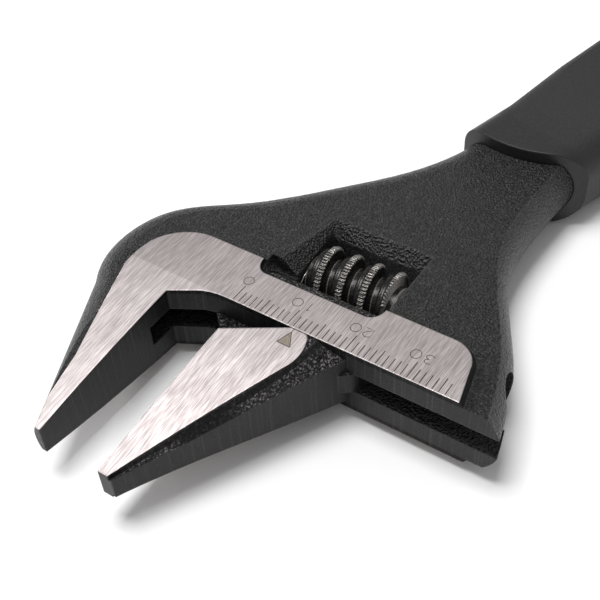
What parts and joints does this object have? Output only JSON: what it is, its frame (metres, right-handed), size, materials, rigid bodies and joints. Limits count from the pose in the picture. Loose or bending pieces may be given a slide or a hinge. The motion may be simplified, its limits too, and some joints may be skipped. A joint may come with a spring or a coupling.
{
  "type": "adjustable wrench",
  "caption": "Wide-opening adjustable wrench with slim tapered jaws, a worm-driven sliding jaw, an engraved opening scale on its flat ground head and a wrapped grip.",
  "frame": {"origin": "middle of the fixed jaw's working face, midway through the thickness", "axes": "+X towards the jaw tips, +Y the way the movable jaw opens, +Z out of the face with the scale; the handle leaves on the -X side, turned 15 degrees towards +Y"},
  "size_m": [0.2043, 0.0883, 0.0158],
  "materials": {
    "black_forging": "grainy black over forged steel, with the flats ground bright",
    "jaw_forging": "grainy black over forged steel, with the flats ground bright",
    "worm_steel": "glossy black oxide, knurled",
    "pin_steel": "black oxide",
    "spring_steel": "bright wire",
    "grip_rubber": "matte, finely grained"
  },
  "bodies": {
    "handle": {"body": "black_forging", "grip_sleeve": "grip_rubber", "worm_pin": "pin_steel", "worm_spring": "spring_steel"},
    "jaw": {"movable_jaw": "jaw_forging"},
    "thumb_worm": {"worm": "worm_steel"}
  },
  "joints": [
    {"name": "jaw_slide", "type": "slide", "parent": "handle", "child": "jaw", "axis": [0, 1, 0], "range_m": [-0.0117, 0.0243]},
    {"name": "worm_spin", "type": "hinge", "parent": "handle", "child": "thumb_worm", "pos_m": [-0.0324, 0.0221, 0], "axis": [0, -1, 0], "range_deg": [-1054, 2188]}
  ],
  "couplings": [
    {"joint": "worm_spin", "follows": "jaw_slide", "rad_per_m": 1570.8}
  ]
}
